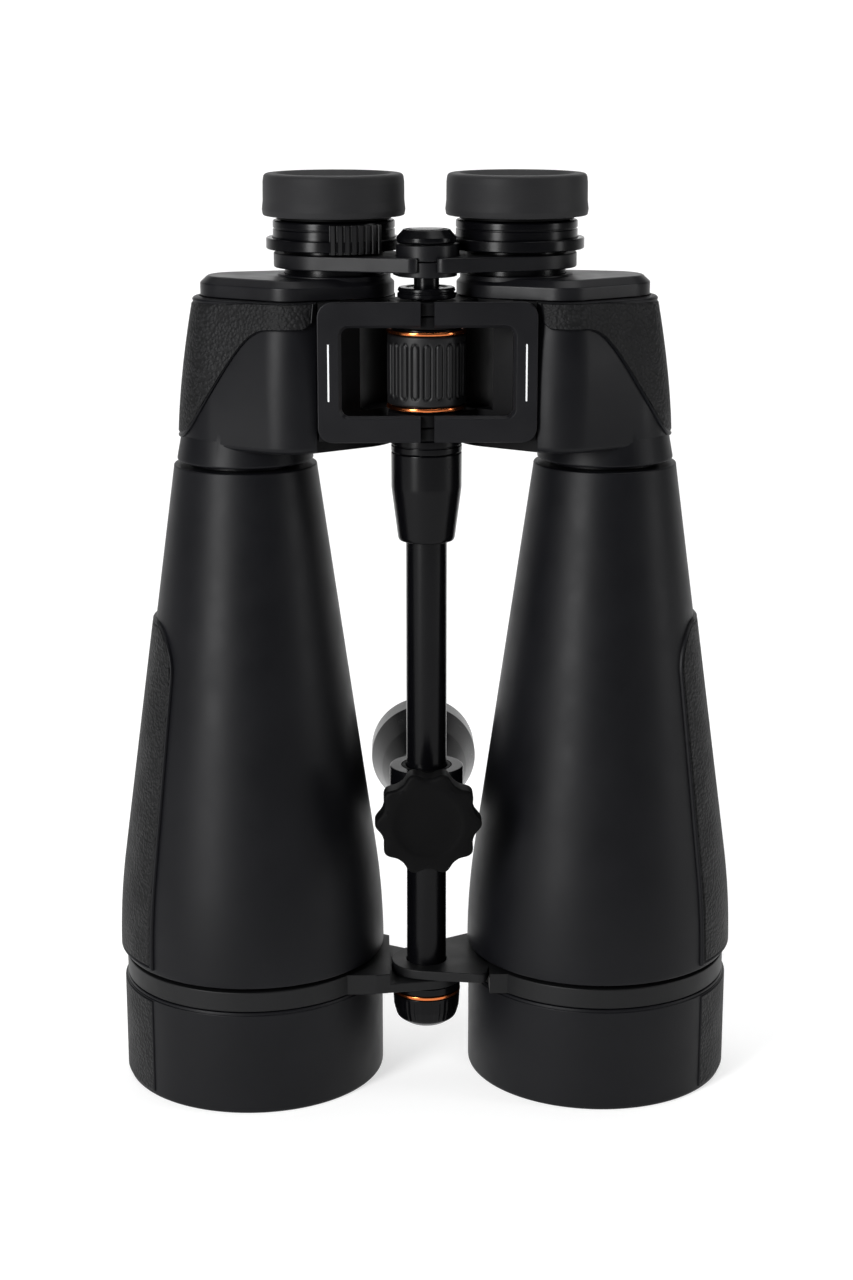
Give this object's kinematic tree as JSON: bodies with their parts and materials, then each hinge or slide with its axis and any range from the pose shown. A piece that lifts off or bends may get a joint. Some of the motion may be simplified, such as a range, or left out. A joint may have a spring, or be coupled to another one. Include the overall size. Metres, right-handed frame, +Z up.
{
  "type": "astronomy binoculars",
  "caption": "Giant porro-prism binocular standing on its objectives, with twist-up eyecups, centre focus, folding hinge and a sliding tripod post on a centre rod.",
  "frame": {"origin": "on the floor, midway between the two objective axes, under the middle of the object's box", "axes": "+Z up along the optical axes towards the eyepieces, +X towards the user's left half, -Y towards the hinge and focus wheel side"},
  "size_m": [0.2206, 0.0938, 0.3213],
  "materials": {
    "armour_rubber": "smooth satin rubber armour",
    "grip_rubber": "pebble-grained rubber",
    "eyecup_rubber": "soft matte rubber",
    "wheel_rubber": "ribbed rubber",
    "cast_housing": "matte black on cast alloy",
    "bracket_paint": "satin dark grey",
    "cover_plastic": "satin moulded",
    "knob_plastic": "fine-textured moulded",
    "black_anodised": "semi-gloss black anodised",
    "copper_accent": "bright copper-orange anodised",
    "bare_steel": "turned",
    "insert_brass": "turned",
    "coated_glass": "anti-reflection coated",
    "prism_glass": "polished, ground edges"
  },
  "bodies": {
    "spine": {"hinge_axle": "bare_steel", "socket_ring": "black_anodised", "rod_socket": "black_anodised", "center_rod": "black_anodised", "rod_end_cap": "black_anodised", "cap_accent_ring": "copper_accent", "hinge_collar": "black_anodised"},
    "left_half": {"left_objective_hood": "armour_rubber", "left_objective_cell": "black_anodised", "left_objective_doublet": "coated_glass", "left_objective_barrel": "armour_rubber", "left_flank_pad": "grip_rubber", "left_bracket_arm": "bracket_paint", "left_prism_housing": "cast_housing", "left_housing_armour": "armour_rubber", "left_grip_pad": "grip_rubber", "left_nameplate": "cover_plastic", "left_prism_cover": "cover_plastic", "left_prism_upper": "prism_glass", "left_prism_lower": "prism_glass", "left_prism_shelf": "cast_housing"},
    "right_half": {"right_objective_hood": "armour_rubber", "right_objective_cell": "black_anodised", "right_objective_doublet": "coated_glass", "right_objective_barrel": "armour_rubber", "right_flank_pad": "grip_rubber", "right_bracket_arm": "bracket_paint", "right_prism_housing": "cast_housing", "right_housing_armour": "armour_rubber", "right_grip_pad": "grip_rubber", "right_nameplate": "cover_plastic", "right_prism_cover": "cover_plastic", "right_prism_upper": "prism_glass", "right_prism_lower": "prism_glass", "right_prism_shelf": "cast_housing"},
    "focus_wheel": {"focus_wheel": "black_anodised", "focus_grip": "wheel_rubber", "accent_ring_lower": "copper_accent", "accent_ring_upper": "copper_accent"},
    "focus_carriage": {"focus_spindle": "bare_steel", "spindle_cap": "black_anodised"},
    "left_bridge": {"left_bridge_arm": "black_anodised", "left_ocular_barrel": "black_anodised", "left_lock_ring": "black_anodised", "left_eye_lens": "coated_glass", "left_field_lens": "coated_glass"},
    "right_bridge": {"right_bridge_arm": "black_anodised"},
    "right_diopter": {"right_diopter_ring": "black_anodised"},
    "right_ocular": {"right_ocular_barrel": "black_anodised", "right_eye_lens": "coated_glass", "right_field_lens": "coated_glass"},
    "left_cup_guide": {"left_eyecup_guide": "knob_plastic"},
    "left_cup": {"left_eyecup": "eyecup_rubber"},
    "right_cup_guide": {"right_eyecup_guide": "knob_plastic"},
    "right_cup": {"right_eyecup": "eyecup_rubber"},
    "post_bush": {"clamp_bush": "knob_plastic"},
    "tripod_post": {"tripod_post": "black_anodised", "thread_insert": "insert_brass"},
    "clamp_screw": {"clamp_screw": "bare_steel"},
    "clamp_knob": {"clamp_knob": "knob_plastic"}
  },
  "joints": [
    {"name": "left_fold", "type": "hinge", "parent": "spine", "child": "left_half", "pos_m": [0, -0.015, 0], "axis": [0, 0, 1], "range_deg": [-7.5, 9]},
    {"name": "right_fold", "type": "hinge", "parent": "spine", "child": "right_half", "pos_m": [0, -0.015, 0], "axis": [0, 0, 1], "range_deg": [-9.1, 7.6]},
    {"name": "focus_travel", "type": "slide", "parent": "spine", "child": "focus_carriage", "axis": [0, 0, 1], "range_m": [-0.002, 0.003]},
    {"name": "focus_turn", "type": "hinge", "parent": "spine", "child": "focus_wheel", "pos_m": [0, -0.015, 0], "axis": [0, 0, 1], "range_deg": [-121, 181]},
    {"name": "left_bridge_swing", "type": "hinge", "parent": "focus_carriage", "child": "left_bridge", "pos_m": [0, -0.015, 0], "axis": [0, 0, 1], "range_deg": [-7.6, 9.1]},
    {"name": "right_bridge_swing", "type": "hinge", "parent": "focus_carriage", "child": "right_bridge", "pos_m": [0, -0.015, 0], "axis": [0, 0, 1], "range_deg": [-9.1, 7.6]},
    {"name": "diopter_travel", "type": "slide", "parent": "right_bridge", "child": "right_ocular", "axis": [0, 0, 1], "range_m": [-0.001, 0.001]},
    {"name": "diopter_turn", "type": "hinge", "parent": "right_bridge", "child": "right_diopter", "pos_m": [-0.031, 0.002, 0.3], "axis": [0, 0, 1], "range_deg": [-36, 36]},
    {"name": "left_cup_lift", "type": "slide", "parent": "left_cup_guide", "child": "left_cup", "axis": [0, 0, 1], "range_m": [0, 0.008]},
    {"name": "left_cup_twist", "type": "hinge", "parent": "left_bridge", "child": "left_cup_guide", "pos_m": [0.031, 0.002, 0.3], "axis": [0, 0, 1], "range_deg": [-1, 121]},
    {"name": "right_cup_lift", "type": "slide", "parent": "right_cup_guide", "child": "right_cup", "axis": [0, 0, 1], "range_m": [0, 0.008]},
    {"name": "right_cup_twist", "type": "hinge", "parent": "right_ocular", "child": "right_cup_guide", "pos_m": [-0.031, 0.002, 0.3], "axis": [0, 0, 1], "range_deg": [-1, 121]},
    {"name": "post_slide", "type": "slide", "parent": "spine", "child": "post_bush", "axis": [0, 0, 1], "range_m": [-0.015, 0.06]},
    {"name": "post_swing", "type": "hinge", "parent": "post_bush", "child": "tripod_post", "pos_m": [0, -0.015, 0.106], "axis": [0, 0, 1], "range_deg": [-5, 5]},
    {"name": "clamp_turn", "type": "hinge", "parent": "clamp_screw", "child": "clamp_knob", "pos_m": [0, -0.037, 0.106], "axis": [0, -1, 0], "range_deg": [-2, 541]},
    {"name": "clamp_advance", "type": "slide", "parent": "tripod_post", "child": "clamp_screw", "axis": [0, -1, 0], "range_m": [0, 0.00188]}
  ],
  "couplings": [
    {"joint": "right_fold", "follows": "left_fold", "ratio": -1},
    {"joint": "left_bridge_swing", "follows": "left_fold", "ratio": 1},
    {"joint": "right_bridge_swing", "follows": "left_fold", "ratio": -1},
    {"joint": "focus_turn", "follows": "focus_travel", "rad_per_m": 1047.2},
    {"joint": "diopter_turn", "follows": "diopter_travel", "rad_per_m": 600},
    {"joint": "left_cup_twist", "follows": "left_cup_lift", "rad_per_m": 261.8},
    {"joint": "right_cup_twist", "follows": "right_cup_lift", "rad_per_m": 261.8},
    {"joint": "clamp_turn", "follows": "clamp_advance", "rad_per_m": 5000}
  ]
}
